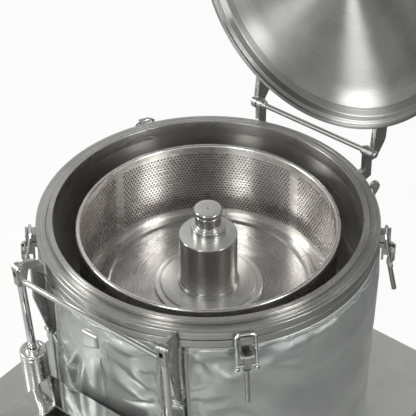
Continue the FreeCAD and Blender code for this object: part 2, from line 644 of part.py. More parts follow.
for side, name in ((-1, "left"), (1, "right")):
    x = side * armX
    arm = plate(armHook, x - armHalf, x + armHalf)
    arm = arm.fuse(rodX(armEyeRadius, x - armHalf, x + armHalf, -armY, bailPinZ))
    arm = arm.fuse(box(x - armFootHalfSpan, x + armFootHalfSpan, armTip - armFootWidth,
                       armWeld + armFootHalfSpan, armFootZ, armFootZ + armFootThick))
    arm = arm.cut(disc(casingOuterRadius, deckTop, flangeBottom))
    arm = arm.cut(disc(flangeRadius + armRingGap, flangeBottom - armRingGap, ringTop + 2 * armShoulder))
    arm = arm.cut(rodX(armPinRadius + latchPinClearance, x - clevisWidth, x + clevisWidth, -armY, bailPinZ))
    parts["arm_" + name] = turned(arm.removeSplitter(), side * bailTurn)

    half = clevisWidth / 2
    block = box(x - half, x + half, -armY - clevisDepth / 2, -armY + clevisDepth / 2, clevisBottom, bailPinZ)
    block = block.makeFillet(clevisCorner, verticalEdges(block))
    crown = rodX(clevisDepth / 2, x - half, x + half, -armY, bailPinZ)
    block = block.fuse(crown)
    cleft = box(x - armHalf - armSideGap, x + armHalf + armSideGap, -armY - clevisDepth, -armY + clevisDepth,
                bailPinZ - clevisCleftBelowPin, blockTop + 1)
    block = block.cut(cleft)
    pin = rodX(armPinRadius, x - half, x + half, -armY, bailPinZ)
    heads = [rodX(armPinHeadRadius, x - half - armPinHeadThick, x - half, -armY, bailPinZ),
             rodX(armPinHeadRadius, x + half, x + half + armPinHeadThick, -armY, bailPinZ)]
    clevis = block.fuse([pin] + heads).removeSplitter()

    piston = disc(pistonRadius, canTop + cylinderCollarHeight, clevisBottom, x, -armY)
    can = disc(cylinderRadius, deckTop - cylinderRadius, canTop, x, -armY)
    can = can.makeChamfer(cylinderCapChamfer, edgesAbove(can, canTop - 0.1))
    collar = disc(cylinderCollarRadius, canTop, canTop + cylinderCollarHeight, x, -armY)
    can = can.fuse(collar).removeSplitter()
    for shape in (clevis, piston, can):
        shape.rotate(Vector(0, -armY, bailPinZ), Vector(1, 0, 0), bailLean)
    parts["clevis_" + name] = turned(clevis, side * bailTurn)
    parts["piston_rod_" + name] = turned(piston, side * bailTurn)
    parts["cylinder_" + name] = turned(can.cut(underDeck), side * bailTurn)
    clevises.append(parts["clevis_" + name])
crossRodY = -bailY + crossRodDrop * math.sin(math.radians(bailLean))
crossRodZ = bailPinZ - crossRodDrop * math.cos(math.radians(bailLean))
parts["cross_rod"] = rodX(crossRodRadius, -bailX, bailX, crossRodY, crossRodZ).cut(clevises)

# Insulation jacket: three padded panels, the front one with a slot round each arm
jacketTop = flangeBottom - jacketTopGap
jacketBottom = deckTop + jacketBottomGap
slotOuter = bailX - jacketSlotInset
seamAngle = math.degrees(math.asin(slotOuter / jacketTopRadius))
seamHalf = math.degrees(jacketSeam / 2 / jacketTopRadius)
jacketSection = [(jacketInnerRadius, jacketBottom), (jacketBottomRadius, jacketBottom),
                 (jacketTopRadius, jacketTop), (jacketInnerRadius, jacketTop)]
for name, start, stop in (("jacket_front", -90 - seamAngle + seamHalf, -90 + seamAngle - seamHalf),
                          ("jacket_right", -90 + seamAngle + seamHalf, 90 - seamHalf),
                          ("jacket_left", 90 + seamHalf, 270 - seamAngle - seamHalf)):
    panel = sector(jacketSection, start, stop)
    for x0 in (-slotOuter, slotOuter - jacketSlotWidth):
        panel = panel.cut(box(x0, x0 + jacketSlotWidth, -armY, -casingInnerRadius / 2,
                              armFootZ - jacketSlotBelow, ringTop))
    parts[name] = panel

os.makedirs("parts", exist_ok=True)
for name, shape in parts.items():
    solid = shape.Solids[0] if len(shape.Solids) == 1 else shape
    if not solid.isValid() or len(shape.Solids) != 1:
        print("check", name, "valid", solid.isValid(), "solids", len(shape.Solids))
    solid.exportStep("parts/" + name + ".step")
print(len(parts), "parts")
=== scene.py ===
import json
import math

import bmesh
import bpy
import numpy as np
from mathutils import Matrix, Vector
from mathutils.bvhtree import BVHTree


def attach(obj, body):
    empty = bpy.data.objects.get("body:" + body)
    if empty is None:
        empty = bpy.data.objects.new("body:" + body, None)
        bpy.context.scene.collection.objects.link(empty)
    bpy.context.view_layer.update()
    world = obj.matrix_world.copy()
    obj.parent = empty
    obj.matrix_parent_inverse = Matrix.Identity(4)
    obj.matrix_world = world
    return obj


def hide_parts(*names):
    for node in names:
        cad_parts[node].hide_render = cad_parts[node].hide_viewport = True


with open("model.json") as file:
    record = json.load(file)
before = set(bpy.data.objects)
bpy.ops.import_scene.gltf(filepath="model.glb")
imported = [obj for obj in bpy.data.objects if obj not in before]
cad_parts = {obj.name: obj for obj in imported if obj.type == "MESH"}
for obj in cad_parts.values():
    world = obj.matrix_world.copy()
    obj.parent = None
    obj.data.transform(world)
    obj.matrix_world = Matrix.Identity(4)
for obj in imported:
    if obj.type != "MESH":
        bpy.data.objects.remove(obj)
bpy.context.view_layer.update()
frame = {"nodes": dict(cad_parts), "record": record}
scene = bpy.context.scene
nodes = frame["nodes"]
record = frame["record"]
bodyOf = {n: body for body, names in record["behaviour"]["bodies"].items() for n in names}

camera = {"focal": 155.77, "sensor": 36.0, "azimuth": 39.0, "elevation": 38.9,
          "distance": 3.0383, "target": (0.0, 0.0, 0.860), "pitchUp": 0.267, "roll": -0.5}


def addCamera(p):
    az, el = math.radians(p["azimuth"]), math.radians(p["elevation"])
    forward = Vector((-math.sin(az) * math.cos(el), math.cos(az) * math.cos(el), -math.sin(el)))
    place = Vector(p["target"]) - forward * p["distance"]
    data = bpy.data.cameras.new("camera")
    data.lens = p["focal"]
    data.sensor_width = p["sensor"]
    data.clip_start, data.clip_end = 0.1, 60
    obj = bpy.data.objects.new("camera", data)
    turn = forward.to_track_quat("-Z", "Y").to_matrix()
    pitch = Matrix.Rotation(math.radians(p["pitchUp"]), 3, "X")
    roll = Matrix.Rotation(math.radians(p["roll"]), 3, "Z")
    obj.matrix_world = Matrix.Translation(place) @ (turn @ (pitch @ roll)).to_4x4()
    scene.collection.objects.link(obj)
    scene.camera = obj


addCamera(camera)
scene.view_settings.view_transform = "Standard"
print("stage: camera")


def linear(hexColour):  # sRGB hex to linear RGBA
    parts = [int(hexColour[i:i + 2], 16) / 255 for i in (1, 3, 5)]
    return tuple(c / 12.92 if c <= 0.04045 else ((c + 0.055) / 1.055) ** 2.4 for c in parts) + (1.0,)


def addNode(tree, kind, settings=None, links=None):  # one node, its settings, and what feeds its sockets
    node = tree.nodes.new(kind)
    for key, value in (settings or {}).items():
        if key == "stops":
            for extra in value[2:]:
                node.color_ramp.elements.new(0.5)
            for element, (place, colour) in zip(node.color_ramp.elements, value):
                element.position, element.color = place, linear(colour)
        elif isinstance(key, int) or key in node.inputs:
            node.inputs[key].default_value = value
        else:
            setattr(node, key, value)
    for key, (source, output) in (links or {}).items():
        tree.links.new(source.outputs[output], node.inputs[key])
    return node


def newMaterial(name):
    m = bpy.data.materials.new(name)
    m.use_nodes = True
    m.node_tree.nodes.clear()
    return m, m.node_tree


# Worked stainless steel: fine lines left by the tool or the belt, and clouds of slightly duller metal. Worked
# round, it spreads a reflection across its lines, so a lamp shows as a ray from the middle or as an upright
# band. line = (length, width) of a scratch, depth = its depth, cloud = size of a cloud, all in mm
def steelMaterial(name, colour, dull, rough, spread, line, depth, cloud, anisotropy=0.0, coords="UV",
                  streak="#ececec"):
    m, tree = newMaterial(name)
    place = addNode(tree, "ShaderNodeTexCoord")
    scale = (1000 / line[0], 1000 / line[1], 1000 / line[1])
    lines = addNode(tree, "ShaderNodeMapping", {"Scale": scale}, {"Vector": (place, coords)})
    scratch = addNode(tree, "ShaderNodeTexNoise", {"Scale": 1.0, "Detail": 3.0, "Roughness": 0.65},
                      {"Vector": (lines, "Vector")})
    clouds = addNode(tree, "ShaderNodeTexNoise", {"Scale": 1000 / cloud, "Detail": 4.0, "Roughness": 0.6},
                     {"Vector": (place, "Object")})
    tone = addNode(tree, "ShaderNodeValToRGB", {"stops": [(0.30, dull), (0.66, colour)]},
                   {"Fac": (clouds, "Fac")})
    faint = addNode(tree, "ShaderNodeValToRGB", {"stops": [(0.32, streak), (0.62, "#ffffff")]},
                    {"Fac": (scratch, "Fac")})
    shade = addNode(tree, "ShaderNodeMix", {"data_type": "RGBA", "blend_type": "MULTIPLY", 0: 1.0},
                    {6: (tone, "Color"), 7: (faint, "Color")})
    mixed = addNode(tree, "ShaderNodeMath", {"operation": "ADD"}, {0: (scratch, "Fac"), 1: (clouds, "Fac")})
    gloss = addNode(tree, "ShaderNodeMapRange", {"From Min": 0.75, "From Max": 1.25, "To Min": rough + spread,
                                                 "To Max": rough - spread}, {"Value": (mixed, "Value")})
    bump = addNode(tree, "ShaderNodeBump", {"Distance": depth / 1000}, {"Height": (scratch, "Fac")})
    links = {"Base Color": (shade, 2), "Roughness": (gloss, "Result"), "Normal": (bump, "Normal")}
    if anisotropy:
        links["Tangent"] = (addNode(tree, "ShaderNodeTangent", {"direction_type": "UV_MAP"}), "Tangent")
    shader = addNode(tree, "ShaderNodeBsdfPrincipled",
                     {"Metallic": 1.0, "Anisotropic": anisotropy, "Anisotropic Rotation": 0.25}, links)
    addNode(tree, "ShaderNodeOutputMaterial", {}, {"Surface": (shader, "BSDF")})
    return m


# Faced in a lathe: rings of tool marks, a broad satin sheen
turnedSteel = steelMaterial("turned stainless steel", "#c6c6c2", "#b4b4b0", rough=0.30, spread=0.05,
                            line=(240, 1.9), depth=0.0014, cloud=70, anisotropy=0.80, streak="#dcdcda")
# Hub flange and hub top: a paler copy of the steel, painted light where the tops face the bright sky
paleLitSteel = steelMaterial("steel painted paler as light", "#e8e8e4", "#dadad6", rough=0.42, spread=0.04,
                           line=(160, 1.8), depth=0.0010, cloud=60, anisotropy=0.40)
# Spun lid: belt-brushed round and round, strong rays from its middle
spunSteel = steelMaterial("spun and brushed stainless steel", "#a4a4a1", "#91918e", rough=0.33, spread=0.03,
                          line=(260, 2.0), depth=0.0006, cloud=90, anisotropy=1.0, streak="#f0f0f0")
# Rolled casing wall, brushed round, dull and a little brown from use
rolledSteel = steelMaterial("rolled stainless sheet", "#c6c4c0", "#aeaaa5", rough=0.30, spread=0.03,
                            line=(240, 3.0), depth=0.0005, cloud=60, anisotropy=1.0)
# Basket sheet: electropolished, warm
basketSteel = steelMaterial("electropolished stainless steel", "#e6e3e0", "#d8d5d2", rough=0.28, spread=0.05,
                            line=(60, 6.0), depth=0.0008, cloud=35, anisotropy=0.70)
# Cut faces of the punched holes: dull, and painted nearly black as painted shade, so that the holes read as
# dark dots
holeShadeSteel = steelMaterial("punched edge painted dark as shade", "#2e2c2a", "#201f1e", rough=0.60, spread=0.05,
                             line=(6, 2.0), depth=0.001, cloud=20)
# Basket floor: turned, then worn by what is spun
floorSteel = steelMaterial("worn basket floor steel", "#cccac7", "#aeaca9", rough=0.28, spread=0.05,
                           line=(70, 2.6), depth=0.0007, cloud=42, anisotropy=0.55, streak="#dedede")
# Hub and nose: ground round and polished
hubSteel = steelMaterial("ground stainless steel", "#c6c6c2", "#b4b4b0", rough=0.25, spread=0.03,
                         line=(140, 1.6), depth=0.0004, cloud=50, anisotropy=0.90)
# Chromed and polished rods
rodSteel = steelMaterial("hard chrome plating", "#dededc", "#d4d4d1", rough=0.10, spread=0.02,
                         line=(60, 1.5), depth=0.0001, cloud=20)
# Cylinder: drawn tube, satin
capSteel = steelMaterial("drawn stainless tube", "#dcdcd8", "#cfcfcb", rough=0.27, spread=0.03,
                         line=(120, 1.6), depth=0.0003, cloud=26, anisotropy=0.5)
# Cut plate, belt-ground flats
plateSteel = steelMaterial("ground stainless plate", "#cacac6", "#adada9", rough=0.30, spread=0.06,
                           line=(26, 1.2), depth=0.0012, cloud=14, coords="Object", streak="#d8d8d8")
# Deck and cabinet sheet, 2B mill finish brushed left to right
sheetSteel = steelMaterial("brushed stainless sheet", "#cdcdca", "#c3c3c0", rough=0.36, spread=0.04,
                           line=(300, 1.6), depth=0.0005, cloud=160, coords="Object", streak="#f4f4f4")
# Console: bright annealed sheet, nearly a mirror, with hand smears
mirrorSteel = steelMaterial("bright annealed stainless sheet", "#b4b4b1", "#a6a6a3", rough=0.08, spread=0.04,
                            line=(60, 14), depth=0.002, cloud=55, coords="Object", streak="#f4f4f4")


def glassMaterial(name, colour, dull, rough, cloud):
    m, tree = newMaterial(name)
    place = addNode(tree, "ShaderNodeTexCoord")
    noise = addNode(tree, "ShaderNodeTexNoise", {"Scale": 1000 / cloud, "Detail": 5.0},
                    {"Vector": (place, "Object")})
    tone = addNode(tree, "ShaderNodeValToRGB", {"stops": [(0.35, dull), (0.65, colour)]},
                   {"Fac": (noise, "Fac")})
    gloss = addNode(tree, "ShaderNodeMapRange", {"To Min": rough - 0.05, "To Max": rough + 0.08},
                    {"Value": (noise, "Fac")})
    shader = addNode(tree, "ShaderNodeBsdfPrincipled", {},
                     {"Base Color": (tone, "Color"), "Roughness": (gloss, "Result")})
    addNode(tree, "ShaderNodeOutputMaterial", {}, {"Surface": (shader, "BSDF")})
    return m


screenGlass = glassMaterial("black glass with a film of dust", "#0b0b0d", "#060607", rough=0.12, cloud=30)

# Silvered glass cloth: an aluminium film on a plain weave (threads 0.8 mm, drawn 2.4 mm so that they show).
# thread is in mm, the scales are per metre, the depths in metres
silver = {"thread": 2.4, "creaseScale": (14.0, 26.0, 1.0), "creaseTurn": 0.35, "creaseDepth": 0.0010,
          "threadDepth": 0.00012, "cloudScale": 9.0, "dark": "#a8aaa9", "light": "#c0c2c0",
          "smooth": 0.34, "rough": 0.43, "metallic": 0.85, "sheen": 0.1}


def clothMaterial(p):
    m, tree = newMaterial("silver coated glass cloth")
    place = addNode(tree, "ShaderNodeTexCoord")
    weave = addNode(tree, "ShaderNodeMapping", {"Scale": (1000 / p["thread"], 1000 / p["thread"], 1.0)},
                    {"Vector": (place, "UV")})
    warp, weft = [addNode(tree, "ShaderNodeTexWave",
                          {"wave_type": "BANDS", "bands_direction": way, "Scale": 0.32, "Distortion": 0.6},
                          {"Vector": (weave, "Vector")}) for way in ("X", "Y")]
    cross = addNode(tree, "ShaderNodeMath", {"operation": "MAXIMUM"}, {0: (warp, "Fac"), 1: (weft, "Fac")})
    creaseFit = addNode(tree, "ShaderNodeMapping",
                        {"Scale": p["creaseScale"], "Rotation": (0, 0, p["creaseTurn"])},
                        {"Vector": (place, "UV")})
    crease = addNode(tree, "ShaderNodeTexNoise",
                     {"Scale": 1.0, "Detail": 2.5, "Roughness": 0.45, "Distortion": 0.6},
                     {"Vector": (creaseFit, "Vector")})
    clouds = addNode(tree, "ShaderNodeTexNoise", {"Scale": p["cloudScale"], "Detail": 3.0},
                     {"Vector": (place, "Object")})
    tone = addNode(tree, "ShaderNodeValToRGB", {"stops": [(0.3, p["dark"]), (0.7, p["light"])]},
                   {"Fac": (clouds, "Fac")})
    gloss = addNode(tree, "ShaderNodeMapRange", {"To Min": p["smooth"], "To Max": p["rough"]},
                    {"Value": (crease, "Fac")})
    coarse = addNode(tree, "ShaderNodeBump", {"Distance": p["creaseDepth"], "Strength": 0.8},
                     {"Height": (crease, "Fac")})
    fine = addNode(tree, "ShaderNodeBump", {"Distance": p["threadDepth"]},
                   {"Height": (cross, "Value"), "Normal": (coarse, "Normal")})
    shader = addNode(tree, "ShaderNodeBsdfPrincipled",
                     {"Metallic": p["metallic"], "Sheen Weight": p["sheen"]},
                     {"Base Color": (tone, "Color"), "Roughness": (gloss, "Result"),
                      "Normal": (fine, "Normal")})
    addNode(tree, "ShaderNodeOutputMaterial", {}, {"Surface": (shader, "BSDF")})
    return m


silverCloth = clothMaterial(silver)
print("stage: materials")


def addPiece(name, mesh, material, node, sharp=38.0):
    mesh.materials.append(material)
    mesh.polygons.foreach_set("use_smooth", np.ones(len(mesh.polygons), bool))
    mesh.set_sharp_from_angle(angle=math.radians(sharp))
    obj = bpy.data.objects.new(name, mesh)
    scene.collection.objects.link(obj)
    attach(obj, bodyOf[node])
    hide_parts(node)
    return obj


def meshFrom(name, verts, faces, uvs=None, recalc=True):
    mesh = bpy.data.meshes.new(name)
    mesh.from_pydata(verts.tolist(), [], faces if isinstance(faces, list) else faces.tolist())
    if uvs is not None:
        mesh.uv_layers.new(name="UVMap").data.foreach_set("uv", np.asarray(uvs, np.float32).ravel())
    bm = bmesh.new()
    bm.from_mesh(mesh)
    bmesh.ops.remove_doubles(bm, verts=bm.verts, dist=1e-6)
    if recalc:
        bmesh.ops.recalc_face_normals(bm, faces=bm.faces)
    bm.to_mesh(mesh)
    bm.free()
    mesh.update()
    return mesh


# Corners (..., rounding) of a closed outline in mm to points in metres: each corner becomes an arc that
# touches both runs
def roundCorners(corners, steps=4):
    p = np.array(corners, float) / 1000
    spots, radii = p[:, :-1], p[:, -1].copy()
    back, ahead = np.roll(spots, 1, 0) - spots, np.roll(spots, -1, 0) - spots
    lengthBack, lengthAhead = np.linalg.norm(back, axis=1), np.linalg.norm(ahead, axis=1)
    back, ahead = back / lengthBack[:, None], ahead / lengthAhead[:, None]
    half = np.arccos(np.clip((back * ahead).sum(1), -1, 1)) / 2
    run = np.minimum(radii / np.tan(np.maximum(half, 1e-6)), 0.49 * np.minimum(lengthBack, lengthAhead))
    radii = run * np.tan(half)
    inward = back + ahead
    inward /= np.maximum(np.linalg.norm(inward, axis=1), 1e-9)[:, None]
    centre = spots + inward * (radii / np.sin(half))[:, None]
    start, end = spots + back * run[:, None] - centre, spots + ahead * run[:, None] - centre
    t = np.linspace(0, 1, steps + 1)[None, :, None]
    arc = start[:, None] * (1 - t) + end[:, None] * t
    arc *= (radii / np.maximum(np.linalg.norm(arc, axis=2), 1e-12).T).T[:, :, None]
    flat = (centre[:, None] + arc).reshape(-1, spots.shape[1])
    keep = np.r_[True, np.linalg.norm(np.diff(flat, axis=0), axis=1) > 1e-6]
    flat = flat[keep]
    if np.linalg.norm(flat[0] - flat[-1]) < 1e-6:
        flat = flat[:-1]
    return flat


# Turned piece: a closed outline of (radius, height, rounding) corners carried round its axis.
# Point = (r cos a, r sin a, z); UV = (length round the largest radius, length along the outline)
def latheMesh(name, corners, placing=None, segments=256, steps=4):
    outline = roundCorners(corners, steps)
    loop = np.vstack([outline, outline[:1]])
    angle = np.linspace(0, 2 * math.pi, segments, endpoint=False)
    r, z = outline[:, 0][:, None], outline[:, 1][:, None]
    verts = np.stack([r * np.cos(angle), r * np.sin(angle), z + 0 * angle], 2).reshape(-1, 3)
    count = len(outline)
    i, j = np.meshgrid(np.arange(count), np.arange(segments), indexing="ij")
    i2, j2 = (i + 1) % count, (j + 1) % segments
    faces = np.stack([i * segments + j, i * segments + j2, i2 * segments + j2, i2 * segments + j], 2)
    run = np.r_[0, np.cumsum(np.linalg.norm(np.diff(loop, axis=0), axis=1))]
    step = 2 * math.pi * outline[:, 0].max() / segments
    u = np.stack([j, j + 1, j + 1, j], 2) * step
    v = np.stack([run[i], run[i], run[i + 1], run[i + 1]], 2)
    onAxis = (outline[i, 0] < 1e-7) & (outline[i2, 0] < 1e-7)
    faces, uvs = faces[~onAxis], np.stack([u, v], 3)[~onAxis]
    if placing is not None:
        m = np.array(placing)
        verts = verts @ m[:3, :3].T + m[:3, 3]
    return meshFrom(name, verts, faces, uvs)


def latheFor(node, corners, material, placing=None, segments=256, steps=4, top=None):
    mesh = latheMesh(node + "_turned", corners, placing, segments, steps)
    addPiece(node + "_turned", mesh, material, node)
    # the second metal is the paler copy: painted light on the faces that look up
    if top:  # faces that look up carry the second metal
        mesh.materials.append(top)
        faceUp = np.empty(len(mesh.polygons) * 3, np.float32)
        mesh.polygons.foreach_get("normal", faceUp)
        mesh.polygons.foreach_set("material_index", (faceUp.reshape(-1, 3)[:, 2] > 0.97).astype(np.int32))


def along(direction, origin):  # matrix that stands a turned piece's axis along a direction
    d = Vector(direction).normalized()
    return Matrix.Translation(Vector(origin) / 1000) @ d.to_track_quat("Z", "Y").to_matrix().to_4x4()


# Casing: outlines of (radius, height, rounding) in mm, on the same levels and radii as the solids
casing = {
    "shell": [(262, 450, 0), (266, 450, 0), (266, 843.5, 0), (262, 843.5, 0)],
    "floor": [(62, 632, 0), (262, 632, 0), (262, 640, 0), (62, 640, 1)],
    "flange": [(266, 828, 0), (290, 828, 0.7), (290, 842.2, 0.6), (285, 842.7, 0.3), (285, 843.5, 0),
               (266, 843.5, 0)],
    "ring": [(262, 843.5, 0), (284, 843.5, 0), (284, 844.7, 0.3), (291, 845.2, 0.6), (291, 860, 0.8),
             (284.6, 860, 0.2), (284.2, 859.6, 0.1), (283.4, 859.6, 0.1), (283, 860, 0.2), (274.4, 860, 0.3),
             (273.4, 857.6, 0.4), (271, 857.6, 0.4), (271, 868, 0.9), (267.6, 868, 0.2), (267.3, 867.7, 0.1),
             (266.7, 867.7, 0.1), (266.4, 868, 0.2), (262, 868, 0.9)]}
latheFor("casing_shell", casing["shell"], rolledSteel)
latheFor("casing_floor", casing["floor"], rolledSteel)
latheFor("lower_flange", casing["flange"], turnedSteel)
latheFor("upper_ring", casing["ring"], turnedSteel)
print("stage: casing")

basket = {
    "rim": [(217, 837, 1), (225, 837, 1), (225, 847, 3.6), (217, 847, 3.6)],
    "plate": [(24, 687, 0), (221, 687, 2), (221, 695, 0.4), (24, 695, 0)],
    "floor": [(0, 695, 0), (193, 695, 0), (193, 707, 3), (191.5, 712, 3), (189, 714, 2), (176, 714, 3),
              (171, 711, 4), (0, 711, 0)],
    "disc": [(0, 711, 0), (94, 711, 0), (94, 715.5, 1.2), (85.5, 715.5, 0.4), (84.8, 714.2, 0.3),
             (83.6, 714.2, 0.3), (82.5, 718, 1.0), (0, 718, 0)],
    "hub": [(0, 718, 0), (54, 718, 1.5), (53, 724, 1.5), (50, 725, 2), (50, 824, 1.4), (0, 824, 0)],
    "nose": [(0, 824, 0), (30, 824, 0), (30, 842.5, 1.3), (26, 842.5, 0.5), (26, 846, 0.9), (22.2, 846, 0.8),
             (22.2, 866, 0.4), (21.6, 866.6, 0.2), (21.6, 868, 0.2), (22.2, 868.6, 0.4), (22.2, 870, 0.4),
             (24.3, 871, 0.8), (24.3, 878, 2.4), (2.2, 878, 0.3), (0, 875.8, 0)]}
latheFor("basket_rim", basket["rim"], basketSteel, steps=7)
latheFor("basket_plate", basket["plate"], basketSteel)
latheFor("basket_floor", basket["floor"], floorSteel, steps=5)
# the hub disc is wholly in the paler steel, painted light
latheFor("hub_disc", basket["disc"], paleLitSteel)
latheFor("hub", basket["hub"], hubSteel, top=paleLitSteel)
latheFor("spindle_nose", basket["nose"], hubSteel, segments=160, top=paleLitSteel)

# Perforated sheet, in quarters: rows of holes from low to high, every other row shifted by half a pitch, with
# a plain strip at each quarter's ends. A cell is a rectangle of one pitch by one row with its hole. A length
# s along the sheet turns to the angle s / outer. first = where the first quarter starts, in degrees
wall = {"outer": 221.0, "thick": 2.0, "bottom": 695.0, "top": 837.0, "low": 705.0, "high": 829.0,
        "hole": 1.95, "pitch": 6.4, "strip": 16.0, "sides": 10, "first": 84.7}


def wallQuarter(index):
    outer, inner = wall["outer"], wall["outer"] - wall["thick"]
    low, high, edge, sides = wall["low"], wall["high"], wall["strip"] / 2, wall["sides"]
    whole = math.pi / 2 * outer
    columns = int(round((whole - wall["strip"]) / wall["pitch"]))
    pitch = (whole - wall["strip"]) / columns
    rows = int(round((high - low) / (pitch * math.sqrt(0.75))))
    row = (high - low) / rows
    turn = np.linspace(0, 2 * math.pi, sides, endpoint=False) + math.pi / 2
    ring = wall["hole"] * np.stack([np.cos(turn), np.sin(turn)], 1)
    frameSpots = np.array([(0, .5), (-.5, .5), (-.5, -.5), (0, -.5), (.5, -.5), (.5, .5)]) * (pitch, row)
    odd = np.arange(rows) % 2
    centres = np.array([(edge + pitch * (k + .5 + .5 * odd[n]), low + row * (n + .5))
                        for n in range(rows) for k in range(columns - odd[n])])
    flat = (centres[:, None] + np.vstack([frameSpots, ring])[None]).reshape(-1, 2)
    # faces of one cell: hole corners 6.. joined to the frame corners 0..5
    reach = frameSpots / (pitch, row) * 2
    near = [int(np.argmin(np.linalg.norm(reach - spot, axis=1))) for spot in ring / wall["hole"]]
    one = []
    for k in range(sides):
        a, b = near[k], near[(k + 1) % sides]
        path = [a] if a == b else [a, b] if (b - a) % 6 == 1 else [a, (a + 1) % 6, b]
        one.append([6 + k] + path + [6 + (k + 1) % sides])
    base = np.arange(len(centres)) * (6 + sides)
    sheetFaces = [[int(o + v) for v in f] for o in base for f in one]
    rim = np.array([[6 + k, 6 + (k + 1) % sides] for k in range(sides)])
    # plain cells: half cells at the ends of the shifted rows, the strips, and the bands above and below
    quads = [(edge, edge + pitch / 2, r) for r in range(rows) if odd[r]]
    quads += [(whole - edge - pitch / 2, whole - edge, r) for r in range(rows) if odd[r]]
    strips = ((0, edge / 2), (edge / 2, edge), (whole - edge, whole - edge / 2), (whole - edge / 2, whole))
    for a, b in strips:
        quads += [(a, b, r) for r in range(rows)]
    plain = [(a, low + row * r, b, low + row * (r + 1)) for a, b, r in quads]
    marks = np.r_[0, edge / 2, edge + pitch / 2 * np.arange(2 * columns + 1), whole - edge / 2, whole]
    for bottom, top in ((wall["bottom"], low), (high, wall["top"])):
        plain += [(a, bottom, b, top) for a, b in zip(marks[:-1], marks[1:])]
    plain = np.array(plain)
    corner = np.stack([plain[:, [0, 1]], plain[:, [2, 1]], plain[:, [2, 3]], plain[:, [0, 3]]], 1)
    corner = corner.reshape(-1, 2)
    sheetFaces += (len(flat) + np.arange(len(corner)).reshape(-1, 4)).tolist()
    flat = np.vstack([flat, corner])
    total = len(flat)
    a = flat[:, 0] / outer + math.radians(wall["first"] + 90 * index)
    verts = [np.stack([r * np.cos(a), r * np.sin(a), flat[:, 1]], 1) / 1000 for r in (inner, outer)]
    faces = [f[::-1] for f in sheetFaces] + [[v + total for v in f] for f in sheetFaces]
    sheetCount = len(faces)
    rims = (base[:, None, None] + rim[None]).reshape(-1, 2)
    faces += np.stack([rims[:, 0], rims[:, 1], rims[:, 1] + total, rims[:, 0] + total], 1).tolist()
    uvs = (np.vstack([flat, flat]) / 1000)[np.concatenate([np.array(f) for f in faces])]
    mesh = meshFrom("basket_wall_%d" % index, np.vstack(verts), faces, uvs, recalc=False)
    addPiece("basket_wall_%d" % index, mesh, basketSteel, "basket_wall", sharp=40)
    # the walls of the holes take the painted shade
    mesh.materials.append(holeShadeSteel)
    inHole = np.arange(len(mesh.polygons)) >= sheetCount
    mesh.polygons.foreach_set("material_index", inHole.astype(np.int32))


for quarter in range(4):
    wallQuarter(quarter)
print("stage: basket")

# Lid: outlines as it lies closed on the ring, then swung open about the hinge pin
hinge = {"y": 300.0, "z": 875.0, "open": 97.0}
lid = {
    "rim": [(272, 869, 1), (277.8, 869, 1.2), (279, 870.4, 1), (279, 875, 2), (275, 879, 2.5), (266, 893, 2),
            (251, 893, 0.6), (251, 890, 0.6), (263, 890, 2.5), (266, 877, 2), (269, 876.6, 0.3),
            (269.8, 875.6, 0.3), (272, 875, 1)],
    "cone": [(24, 925, 0), (222, 901, 90), (247, 890, 8), (251, 890, 0), (251, 893, 0.5), (247, 893, 8),
             (222, 904, 90), (24, 928, 0)],
    "boss": [(0, 900, 0), (14, 900, 1.5), (14, 918, 1), (24, 921, 1.5), (24, 930, 1), (0, 930, 0)]}
pin = Vector((0, hinge["y"], hinge["z"])) / 1000
swing = Matrix.Rotation(math.radians(-hinge["open"]), 4, "X")
opened = Matrix.Translation(pin) @ swing @ Matrix.Translation(-pin)
latheFor("lid_rim", lid["rim"], spunSteel, opened)
latheFor("lid_cone", lid["cone"], spunSteel, opened, steps=10)
latheFor("lid_boss", lid["boss"], hubSteel, opened, 128)
print("stage: lid")


# Cut and welded pieces: the solid's own shape with its arrises broken by a bevel, width in mm
def dress(node, material, width):
    mesh = nodes[node].data.copy()
    mesh.name = node + "_dressed"
    bm = bmesh.new()
    bm.from_mesh(mesh)
    bmesh.ops.remove_doubles(bm, verts=bm.verts, dist=1e-6)
    bmesh.ops.dissolve_limit(bm, angle_limit=math.radians(0.5), verts=bm.verts, edges=bm.edges)
    bm.to_mesh(mesh)
    bm.free()
    mesh.materials.clear()
    obj = addPiece(node + "_dressed", mesh, material, node, sharp=34)
    bevel = obj.modifiers.new("broken edges", "BEVEL")
    bevel.width = width / 1000
    bevel.segments = 2
    bevel.limit_method = "ANGLE"
    bevel.angle_limit = math.radians(40)
    bevel.harden_normals = True
    bevel.use_clamp_overlap = True


for side in ("left", "right"):
    for part, width in (("arm", 0.8), ("clevis", 0.7), ("casing_lug", 0.8), ("lid_lug", 0.8)):
        dress(part + "_" + side, plateSteel, width)
for corner in ("front_left", "front_right", "rear_right", "rear_left"):
    for part, metal, width in (("latch_keeper", plateSteel, 0.5), ("latch_base", plateSteel, 0.4),
                               ("latch_lever", plateSteel, 0.4), ("latch_loop", rodSteel, 0.2),
                               ("foot", plateSteel, 1.0)):
        dress(part + "_" + corner, metal, width)
dress("stay_eye", plateSteel, 0.5)
dress("console_housing", mirrorSteel, 0.8)
dress("deck_plate", sheetSteel, 1.2)
dress("base_cabinet", sheetSteel, 1.5)
nodes["console_screen"].data.materials.clear()
nodes["console_screen"].data.materials.append(screenGlass)

